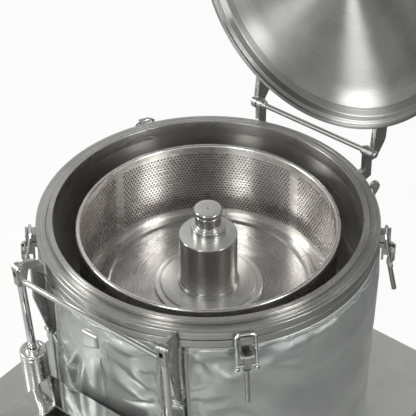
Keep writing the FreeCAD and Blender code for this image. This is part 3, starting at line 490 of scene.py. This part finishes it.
# Rods and cylinders of the front bail: they hang from the pins of the clevises and lean back. Heights are
# measured along them, from the pin
bail = {"x": 153.0, "y": -302.0, "z": 866.0, "lean": 4.0, "turn": 13.0, "crossDrop": 25.0, "crossHalf": 147.0,
        "rodTop": -32.0, "collar": -181.0, "can": -186.0, "foot": -418.5}
lean, turn = math.radians(bail["lean"]), math.radians(bail["turn"])
low, can, foot = bail["collar"], bail["can"], bail["foot"]
rodLine = [(0, low, 0), (7, low, 0.5), (7, bail["rodTop"], 0.5), (0, bail["rodTop"], 0)]
canLine = [(0, foot, 0), (23.5, foot, 0), (23.5, can - 9, 0.5), (22.7, can - 8.2, 0.4),
           (23.5, can - 7.4, 0.5), (23.5, can, 3.2), (17, can, 0.6), (16.2, can - 0.8, 0.4),
           (13, can - 0.8, 0.6), (12, can, 0.4), (12, low, 1.4), (8.6, low, 0.4), (8.2, low - 0.8, 0.2),
           (0, low - 0.8, 0)]
for side, sign in (("left", -1), ("right", 1)):
    up = (sign * math.sin(lean) * math.sin(turn), -math.sin(lean) * math.cos(turn), math.cos(lean))
    hanging = along(up, (sign * bail["x"], bail["y"], bail["z"]))
    latheFor("piston_rod_" + side, rodLine, rodSteel, hanging, 64)
    latheFor("cylinder_" + side, canLine, capSteel, hanging, 96)
half, drop = bail["crossHalf"], bail["crossDrop"]
latheFor("cross_rod", [(0, -half, 0), (5, -half, 0.4), (5, half, 0.4), (0, half, 0)], rodSteel,
         along((1, 0, 0), (0, bail["y"] + drop * math.sin(lean), bail["z"] - drop * math.cos(lean))), 48)
# Hinge rod: one end with its nut and its collar, and the same again at the other end
hingeEnd = [(0, 136.5, 0), (6.5, 136.5, 1), (6.5, 132, 0.5), (5, 132, 0), (5, 112, 0), (8, 112, 0.6),
            (8, 107, 1), (5, 107, 0.3)]
latheFor("hinge_rod", [(r, -z, rounding) for r, z, rounding in hingeEnd] + hingeEnd[::-1], rodSteel,
         along((1, 0, 0), (0, hinge["y"], hinge["z"])), 48)
for name in ("bearing_housing", "spindle_shaft"):
    nodes[name].data.materials.clear()
    nodes[name].data.materials.append(plateSteel)
print("stage: fittings")

# Insulation jacket: silvered cloth pads round the casing. A place on it is (s, z) in mm: s is the length
# round the jacket from the front at radius 288, z the height. Each pad is an outer and an inner sheet that
# meet at its hem, at the share meet of its thickness
jacket = {"inner": 266.4, "thickTop": 24.6, "thickLow": 12.2, "low": 450.6, "high": 826.8, "round": 288.0,
          "edge": 8.5, "cell": 7.0, "seam": 1.6, "side": 153.4, "slot": 116.0, "slotLow": 691.5,
          "meet": 0.42, "swell": 0.50, "straightTo": 250, "blend": 60, "outside": 400.0,
          "pressure": 3.0, "growth": -0.045, "frames": 20, "held": 7.0,
          "capOut": 6.5, "capIn": 3.5, "capAcross": 6.0}
# Under a latch the pad is pressed in: half the width, the height where it starts, and how far, in mm
press = {"half": 14, "low": 790, "depth": 4, "angles": (-135.0, -40.0, 31.0, 151.0)}
# Hem: rounding at the corners, step along it, way in from the outline, share of the thickness, half width and
# half height. The stitched line runs inside it
hem = {"corner": 9, "step": 5, "in": 2.6, "out": 0.84, "wide": 2.6, "tall": 3.4,
       "stitchIn": 13.5, "stitchDepth": 1.6, "stitchWide": 2.6, "calm": 16}
# Patch: how proud it stands at its edge and within, how soon it gets there, and its stitched line, in mm
patch = {"edge": 0.1, "proud": 3.0, "roll": 1.6, "stitchDepth": 0.7, "stitchIn": 4.0, "stitchWide": 1.2}


def edgeDistance(points, outline):  # shortest way from each point to the outline's runs
    a = np.array(outline, float)
    run = np.roll(a, -1, 0) - a
    t = np.clip(((points[:, None] - a) * run).sum(2) / (run ** 2).sum(1), 0, 1)
    return np.linalg.norm(points[:, None] - (a + t[..., None] * run), axis=2).min(1)


# Place on the cylinder of that radius. Near the front s follows x, behind it the angle
def onJacket(s, z, radius):
    full = jacket["round"]
    straight = np.arcsin(np.clip(full * np.sin(s / full) / radius, -1, 1))
    share = np.clip((jacket["straightTo"] - np.abs(s)) / jacket["blend"], 0, 1)
    a = s / full * (1 - share) + straight * share - math.pi / 2
    return np.stack([radius * np.cos(a), radius * np.sin(a), z], -1)


def outward(places):  # level unit directions away from the machine's axis
    out = places * (1, 1, 0)
    return out / np.linalg.norm(out, axis=1)[:, None]


def jacketThick(z):  # thinner towards the deck
    t = np.clip((z - jacket["low"]) / (jacket["high"] - jacket["low"]), 0, 1)
    return jacket["thickLow"] + (jacket["thickTop"] - jacket["thickLow"]) * t


def gridLines(stops):  # positions that crowd near every stop, where the pad rolls over
    near = np.array([0, 1.2, 3.0, 5.5, 9.0, 13.5])
    lines = [np.array(stops, float)]
    for a, b in zip(stops[:-1], stops[1:]):
        count = max(1, int(round((b - a - 2 * near[-1]) / jacket["cell"])))
        lines += [a + near, b - near, np.linspace(a + near[-1], b - near[-1], count + 1)]
    return np.unique(np.round(np.concatenate(lines), 3))


def creaseHeight(points, creases):  # height of soft ridges (or valleys) along lines, bell shaped across
    total = np.zeros(len(points))
    for line, high, wide in creases:
        line = np.array(line, float)
        best = np.full(len(points), 1e9)
        place = np.zeros(len(points))
        for k in range(len(line) - 1):
            run = line[k + 1] - line[k]
            t = np.clip(((points - line[k]) @ run) / (run @ run), 0, 1)
            d = np.linalg.norm(points - line[k] - t[:, None] * run, axis=1)
            place = np.where(d < best, (k + t) / (len(line) - 1), place)
            best = np.minimum(best, d)
        fade = np.sqrt(np.clip(np.sin(np.pi * np.clip(place, 0.04, 0.96)), 0, 1))
        total += high * fade * np.exp(-(best / wide) ** 2)
    return total


# Cloth with a little pressure inside, its hem and back sheet held, then kept in its space
def settle(obj, pins, start):
    group = obj.vertex_groups.new(name="held")
    group.add(np.flatnonzero(pins).tolist(), 1.0, "REPLACE")
    cloth = obj.modifiers.new("cloth", "CLOTH")
    s = cloth.settings
    s.quality, s.mass, s.air_damping = 6, 0.25, 2.0
    s.tension_stiffness, s.compression_stiffness, s.shear_stiffness, s.bending_stiffness = 30, 30, 15, 0.6
    s.use_pressure, s.uniform_pressure_force = True, jacket["pressure"]
    s.shrink_min = jacket["growth"]
    s.vertex_group_mass = "held"
    s.effector_weights.gravity = 0
    cloth.point_cache.frame_start, cloth.point_cache.frame_end = 1, jacket["frames"]
    for f in range(1, jacket["frames"] + 1):
        scene.frame_set(f)
    shaped = obj.evaluated_get(bpy.context.evaluated_depsgraph_get())
    co = np.empty(len(obj.data.vertices) * 3, np.float32)
    shaped.data.vertices.foreach_get("co", co)
    obj.modifiers.remove(cloth)
    scene.frame_set(1)
    move = (co.reshape(-1, 3) - start) * 1000
    out = outward(start)
    radial = np.clip((move * out).sum(1), -jacket["capIn"], jacket["capOut"])
    across = move - (move * out).sum(1)[:, None] * out
    length = np.maximum(np.linalg.norm(across, axis=1), 1e-6)
    across *= np.minimum(1, jacket["capAcross"] / length)[:, None]
    return start + (radial[:, None] * out + across) / 1000


# Tube along a closed path: each point carries a ring in the plane square to the path. wide and tall are half
# its width and height in mm
def sweepRing(path, up, wide, tall, sides=10):
    ahead = np.roll(path, -1, 0) - np.roll(path, 1, 0)
    ahead /= np.linalg.norm(ahead, axis=1)[:, None]
    side = np.cross(ahead, up)
    side /= np.linalg.norm(side, axis=1)[:, None]
    up = np.cross(side, ahead)
    a = np.linspace(0, 2 * math.pi, sides, endpoint=False)[None, :, None]
    verts = path[:, None] + (side[:, None] * np.cos(a) * wide + up[:, None] * np.sin(a) * tall) / 1000
    n = len(path)
    i, j = np.meshgrid(np.arange(n), np.arange(sides), indexing="ij")
    i2, j2 = (i + 1) % n, (j + 1) % sides
    faces = np.stack([i * sides + j, i * sides + j2, i2 * sides + j2, i2 * sides + j], 2)
    return verts.reshape(-1, 3), faces.reshape(-1, 4)


# Places and outward directions on the pad's outer sheet, raised by lift mm
def onSkin(skin, spots, lift):
    places, outs = [], []
    for (s, z), up in zip(spots, np.broadcast_to(lift, len(spots))):
        far = Vector(onJacket(np.array([s]), np.array([z]), jacket["outside"])[0] / 1000)
        axis = Vector((0, 0, far[2]))
        spot, normal = skin.ray_cast(far, (axis - far).normalized())[:2]
        if spot is None:
            spot = axis.lerp(far, jacket["round"] / jacket["outside"])
            normal = (far - axis).normalized()
        if normal.dot(far - axis) < 0:
            normal = -normal
        places.append(spot + normal * up / 1000)
        outs.append(normal)
    return np.array(places), np.array(outs)


# Cord of a radius in mm sewn on along a line of (s, z), partly sunk in the pad below it, thin at both ends
def layCord(skin, line, radius, sides=6):
    line = np.array(line, float)
    run = np.r_[0, np.cumsum(np.linalg.norm(np.diff(line, axis=0), axis=1))]
    spots = np.linspace(0, run[-1], max(3, int(run[-1] / 4)))
    line = np.stack([np.interp(spots, run, line[:, 0]), np.interp(spots, run, line[:, 1])], 1)
    path, out = onSkin(skin, line, 0.3 * radius)
    ahead = np.gradient(path, axis=0)
    ahead /= np.linalg.norm(ahead, axis=1)[:, None]
    side = np.cross(ahead, out)
    a = np.linspace(0, 2 * math.pi, sides, endpoint=False)[None, :, None]
    ends = np.sin(np.linspace(0.05, math.pi - 0.05, len(path)))
    thick = radius * np.sqrt(np.clip(ends * 4, 0.1, 1)) / 1000
    rings = path[:, None] + (side[:, None] * np.cos(a) + out[:, None] * np.sin(a)) * thick[:, None, None]
    i, k = np.meshgrid(np.arange(len(path) - 1), np.arange(sides), indexing="ij")
    k2 = (k + 1) % sides
    faces = np.stack([i * sides + k, i * sides + k2, (i + 1) * sides + k2, (i + 1) * sides + k], 2)
    last = (len(path) - 1) * sides
    caps = [list(range(sides)), list(range(last, last + sides))]
    return rings.reshape(-1, 3), faces.reshape(-1, 4).tolist() + caps


# Patch of doubled cloth between four corners (s, z), sewn on round its edge
def layPatch(skin, corners, across=26, down=14):
    a, b, c, d = np.array(corners, float)
    u, v = [t.ravel() for t in np.meshgrid(np.linspace(0, 1, across), np.linspace(0, 1, down), indexing="ij")]
    top = a * ((1 - u) * (1 - v))[:, None] + b * (u * (1 - v))[:, None]
    spots = top + c * (u * v)[:, None] + d * ((1 - u) * v)[:, None]
    wide, tall = np.linalg.norm(b - a), np.linalg.norm(d - a)
    rim = np.minimum(np.minimum(u, 1 - u) * wide, np.minimum(v, 1 - v) * tall)
    stitch = patch["stitchDepth"] * np.exp(-((rim - patch["stitchIn"]) / patch["stitchWide"]) ** 2)
    lift = patch["edge"] + patch["proud"] * np.sqrt(np.clip(rim / patch["roll"], 0, 1)) - stitch
    places = onSkin(skin, spots, lift)[0]
    i, k = np.meshgrid(np.arange(across - 1), np.arange(down - 1), indexing="ij")
    here, ahead = i * down + k, (i + 1) * down + k
    faces = np.stack([here, here + 1, ahead + 1, ahead], 2).reshape(-1, 4)
    return places, faces.tolist()


# Pad over the outline: a grid of cells, the outer sheet rolled over to the inner one along the edge by
# height = sqrt(1 - (1 - distance / edge)^2), settled as cloth, then folded, stitched, corded and hemmed
def makePad(node, outline, stops, heights, hidden, creases, cords, patches=()):
    sLines, zLines = gridLines(stops), gridLines(heights)
    s, z = [v.ravel() for v in np.meshgrid(sLines, zLines, indexing="ij")]
    rows = len(zLines)
    i, k = [v.ravel() for v in np.meshgrid(np.arange(len(sLines) - 1), np.arange(rows - 1), indexing="ij")]
    shown = ~hidden(np.stack([(sLines[i] + sLines[i + 1]) / 2, (zLines[k] + zLines[k + 1]) / 2], 1))
    i, k = i[shown], k[shown]
    cells = np.stack([i * rows + k, (i + 1) * rows + k, (i + 1) * rows + k + 1, i * rows + k + 1], 1)
    used, cells = np.unique(cells, return_inverse=True)
    cells = cells.reshape(-1, 4)
    s, z = s[used], z[used]
    flat = np.stack([s, z], 1)
    d = edgeDistance(flat, outline)
    roll = np.sqrt(1 - (1 - np.minimum(d / jacket["edge"], 1)) ** 2)
    thick = jacketThick(z)
    outer = onJacket(s, z, jacket["inner"] + thick * (jacket["meet"] + jacket["swell"] * roll)) / 1000
    inner = onJacket(s, z, jacket["inner"] + thick * jacket["meet"] * (1 - roll)) / 1000
    border = d < 1e-3
    count = len(s)
    number = np.where(border, np.arange(count), count + np.cumsum(~border) - 1)
    start = np.vstack([outer, inner[~border]])
    faces = np.vstack([cells, number[cells][:, ::-1]])
    mesh = bpy.data.meshes.new(node + "_pad")
    mesh.from_pydata(start.tolist(), [], faces.tolist())
    both = np.vstack([flat, flat[~border]]) / 1000
    mesh.uv_layers.new(name="UVMap").data.foreach_set("uv", both[faces.ravel()].astype(np.float32).ravel())
    obj = addPiece(node + "_pad", mesh, silverCloth, node, sharp=180)
    shape = start
    latch = np.zeros(count, bool)
    for angle in press["angles"]:
        at = ((math.radians(angle + 90) + math.pi) % (2 * math.pi) - math.pi) * jacket["round"]
        latch |= (np.abs(s - at) < press["half"]) & (z > press["low"])
    pins = np.ones(len(start), bool)
    pins[:count] = (d < jacket["held"]) | latch
    start[:count][latch] -= (outward(outer) * press["depth"] / 1000)[latch]
    mesh.vertices.foreach_set("co", start.ravel().astype(np.float32))
    shape = settle(obj, pins, start)
    stitch = hem["stitchDepth"] * np.exp(-((d - hem["stitchIn"]) / hem["stitchWide"]) ** 2)
    lift = creaseHeight(flat, creases) * np.clip(d / hem["calm"], 0, 1) - stitch
    shape[:count] += outward(shape[:count]) * (lift / 1000)[:, None]
    mesh.vertices.foreach_set("co", shape.ravel().astype(np.float32))
    skin = BVHTree.FromPolygons([Vector(v) for v in shape[:count]], cells.tolist())
    sewn = [layCord(skin, line, radius) for line, radius in cords]
    sewn += [layPatch(skin, corners) for corners in patches]
    # rolled hem all round, a little proud of the pad
    line = roundCorners([(a, b, hem["corner"]) for a, b in outline], 5) * 1000
    ahead = np.roll(line, -1, 0)
    counts = [max(1, int(gap / hem["step"])) for gap in np.linalg.norm(ahead - line, axis=1)]
    line = np.vstack([a + (b - a) * np.linspace(0, 1, n, endpoint=False)[:, None]
                      for a, b, n in zip(line, ahead, counts)])
    inset = line + np.clip(np.array(outline).mean(0) - line, -1, 1) * hem["in"]
    radius = jacket["inner"] + jacketThick(inset[:, 1]) * hem["out"]
    path = onJacket(inset[:, 0], inset[:, 1], radius) / 1000
    sewn.insert(0, sweepRing(path, outward(path), hem["wide"], hem["tall"]))
    bm = bmesh.new()
    bm.from_mesh(mesh)
    for places, faces in sewn:
        bm.from_mesh(meshFrom(node + "_sewn", places, faces))
    bm.to_mesh(mesh)
    bm.free()
    mesh.polygons.foreach_set("use_smooth", np.ones(len(mesh.polygons), bool))
    smooth = obj.modifiers.new("smooth", "SUBSURF")
    smooth.levels = smooth.render_levels = 1


low, high, slot, slotLow = jacket["low"], jacket["high"], jacket["slot"], jacket["slotLow"]
frontEnd, sideStart = jacket["side"] - jacket["seam"], jacket["side"] + jacket["seam"]
back = math.pi * jacket["round"] - jacket["seam"]
frontOutline = [(-frontEnd, low), (frontEnd, low), (frontEnd, slotLow), (slot, slotLow), (slot, high),
                (-slot, high), (-slot, slotLow), (-frontEnd, slotLow)]
# Folds: (line of (s, z), height, width) in mm; a valley has a negative height
frontCreases = [
    ([(20, 812), (36, 806), (62, 797), (84, 797), (112, 806)], 5.5, 8),
    ([(18, 795), (50, 779), (96, 776)], -3.0, 10), ([(14, 745), (50, 722), (91, 700), (125, 668)], 4.0, 9),
    ([(70, 752), (91, 732), (124, 704)], 4.5, 5), ([(24, 770), (70, 735), (118, 690)], -2.5, 8),
    ([(14, 756), (20, 678), (22, 600)], -2.2, 2.6),
    ([(-39, 748), (-56, 712), (-78, 679), (-77, 640)], 7.0, 6),
    ([(-36, 738), (-55, 695), (-58, 640)], -7.5, 11),
    ([(-34, 748), (-36, 700), (-40, 640), (-36, 590)], 5.0, 6),
    ([(-5, 740), (-2, 690), (-8, 620)], 3.5, 14), ([(-80, 790), (-60, 770), (-42, 752)], 4.0, 6),
    ([(-112, 760), (-92, 720), (-96, 660)], 3.0, 9), ([(-20, 600), (40, 580), (110, 600)], 3.0, 12),
    ([(120, 670), (90, 640), (40, 640)], -2.5, 10)]
# Cords: (line of (s, z), radius) in mm
frontCords = [([(14, 757), (16.5, 718), (20.5, 678), (22, 606)], 1.2),
              ([(19, 779), (31, 776), (34, 767), (33, 759)], 1.2),
              ([(-31, 803), (-24, 805.5), (-17, 806), (-6, 808), (5, 808)], 1.1),
              ([(-96, 815), (-40, 815), (40, 815), (96, 815)], 1.1)]
frontPatch = [(-37, 798), (8.5, 801), (12.5, 775.5), (-38.6, 760.5)]
makePad("jacket_front", frontOutline, [-frontEnd, -slot, slot, frontEnd], [low, slotLow, high],
        lambda p: (np.abs(p[:, 0]) > slot) & (p[:, 1] > slotLow), frontCreases, frontCords, [frontPatch])
sideCreases = [
    ([(163, 815), (186, 798), (208, 776), (232, 752)], 8.0, 7),
    ([(166, 800), (180, 782), (200, 758)], -6.0, 7),
    ([(190, 812), (205, 806), (222, 812)], 5.0, 7), ([(186, 790), (215, 784), (238, 800)], -3.0, 9),
    ([(262, 812), (279, 806), (301, 800), (330, 796), (400, 800)], 5.0, 8),
    ([(262, 790), (300, 778), (360, 772), (420, 785)], -3.5, 11),
    ([(264, 800), (300, 772), (350, 740), (420, 735)], 3.5, 12),
    ([(330, 812), (420, 806), (500, 812)], 2.5, 9),
    ([(240, 770), (290, 735), (360, 690), (450, 680)], -2.5, 13),
    ([(200, 760), (260, 720), (330, 650), (420, 600)], 2.5, 15),
    ([(182, 702), (205, 690), (240, 690)], 4.0, 6), ([(182, 680), (200, 655), (215, 610)], 3.5, 7),
    ([(380, 760), (470, 740), (560, 750)], 2.5, 14), ([(480, 700), (560, 640), (640, 620)], -2.5, 16),
    ([(560, 806), (640, 790), (720, 806)], 4.0, 10), ([(640, 760), (720, 730), (800, 740)], -3.0, 12),
    ([(760, 810), (820, 796), (880, 808)], 3.5, 9), ([(300, 560), (420, 520), (560, 540)], 2.5, 18),
    ([(620, 600), (720, 560), (840, 600)], 2.5, 16), ([(200, 520), (300, 490), (420, 500)], -2.0, 14)]
for node, sign in (("jacket_right", 1), ("jacket_left", -1)):
    ends = sorted([sign * sideStart, sign * back])
    outline = [(ends[0], low), (ends[1], low), (ends[1], high), (ends[0], high)]
    creases = [([(sign * a, b) for a, b in line], height, wide) for line, height, wide in sideCreases]
    topCord = [(sign * s, high - 11.5) for s in np.linspace(sideStart + 9, back - 9, 60)]
    endCord = [(sign * (sideStart + 10.5), z) for z in np.linspace(high - 14, low + 12, 30)]
    makePad(node, outline, ends, [low, high], lambda p: np.zeros(len(p), bool), creases,
            [(topCord, 1.2), (endCord, 1.0)])
print("stage: jacket")

# Studio: pale floor, a white sweep round it, a grey ceiling and three soft lamps: front, right and left. To
# the camera the floor glows, so that the background is white. In reflections it darkens towards the right
# and the rear, as in a room lit from the front left
studio = {"floor": "#ebebea", "horizon": "#ffffff", "sweep": "#e8e8e8", "wall": "#d8d8d8",
          "ceiling": "#6c6e70", "size": 14.0, "glow": 0.90, "mirrored": 0.85, "frontLeft": "#c4c4c4",
          "rearRight": "#383838", "rearward": (0.63, 0.777, 0.0), "fadeFrom": -0.4, "fadeTo": 1.1}
size = studio["size"]
floorMesh = bpy.data.meshes.new("floor")
floorCorners = [(-size, -size, 0), (size, -size, 0), (size, size, 0), (-size, size, 0)]
floorMesh.from_pydata(floorCorners, [], [(0, 1, 2, 3)])
floor = bpy.data.objects.new("floor", floorMesh)
scene.collection.objects.link(floor)
m, tree = newMaterial("pale studio floor")
paint = addNode(tree, "ShaderNodeBsdfDiffuse", {"Color": linear(studio["floor"])})
glow = addNode(tree, "ShaderNodeEmission", {"Color": linear("#ffffff"), "Strength": 1.0})
path = addNode(tree, "ShaderNodeLightPath")
shiny = addNode(tree, "ShaderNodeMath", {"operation": "MAXIMUM"},
                {0: (path, "Is Glossy Ray"), 1: (path, "Is Transmission Ray")})
ground = addNode(tree, "ShaderNodeTexCoord")
depth = addNode(tree, "ShaderNodeVectorMath", {"operation": "DOT_PRODUCT", 1: studio["rearward"]},
                {0: (ground, "Object")})
fade = addNode(tree, "ShaderNodeMapRange", {"From Min": studio["fadeFrom"], "From Max": studio["fadeTo"]},
               {"Value": (depth, "Value")})
fall = addNode(tree, "ShaderNodeValToRGB",
               {"stops": [(0.0, studio["frontLeft"]), (1.0, studio["rearRight"])]},
               {"Fac": (fade, "Result")})
mirrored = addNode(tree, "ShaderNodeEmission", {"Strength": 1.0}, {"Color": (fall, "Color")})
part = addNode(tree, "ShaderNodeMath", {"operation": "MULTIPLY", 1: studio["mirrored"]},
               {0: (shiny, "Value")})
inMirror = addNode(tree, "ShaderNodeMixShader", {},
                   {0: (part, "Value"), 1: (paint, "BSDF"), 2: (mirrored, "Emission")})
seen = addNode(tree, "ShaderNodeMath", {"operation": "MULTIPLY", 1: studio["glow"]},
               {0: (path, "Is Camera Ray")})
blend = addNode(tree, "ShaderNodeMixShader", {},
                {0: (seen, "Value"), 1: (inMirror, "Shader"), 2: (glow, "Emission")})
addNode(tree, "ShaderNodeOutputMaterial", {}, {"Surface": (blend, "Shader")})
floorMesh.materials.append(m)

world = bpy.data.worlds.new("studio")
scene.world = world
world.use_nodes = True
tree = world.node_tree
tree.nodes.clear()
sky = addNode(tree, "ShaderNodeTexCoord")
split = addNode(tree, "ShaderNodeSeparateXYZ", {}, {"Vector": (sky, "Generated")})
dome = addNode(tree, "ShaderNodeValToRGB", {"stops": [(0.0, studio["horizon"]), (0.22, studio["horizon"]),
                                                      (0.34, studio["sweep"]), (0.66, studio["wall"]),
                                                      (0.90, studio["ceiling"])]}, {"Fac": (split, "Z")})
sweep = addNode(tree, "ShaderNodeBackground", {"Strength": 1.0}, {"Color": (dome, "Color")})
addNode(tree, "ShaderNodeOutputWorld", {}, {"Surface": (sweep, "Background")})


def addLamp(name, place, target, width, depth, power):
    data = bpy.data.lights.new(name, "AREA")
    data.shape = "RECTANGLE"
    data.size, data.size_y, data.energy = width, depth, power
    obj = bpy.data.objects.new(name, data)
    place, target = Vector(place), Vector(target)
    aim = (target - place).to_track_quat("-Z", "Y").to_matrix().to_4x4()
    obj.matrix_world = Matrix.Translation(place) @ aim
    scene.collection.objects.link(obj)


addLamp("right softbox", (2.6, 0.05, 2.35), (0, 0, 0.85), width=0.8, depth=1.2, power=31)
addLamp("front softbox", (0.36, -2.5, 2.5), (0, 0, 0.85), width=0.6, depth=1.2, power=32)
addLamp("left softbox", (-2.2, -1.63, 2.15), (0, 0, 0.9), width=0.5, depth=1.3, power=46)
print("stage: studio")
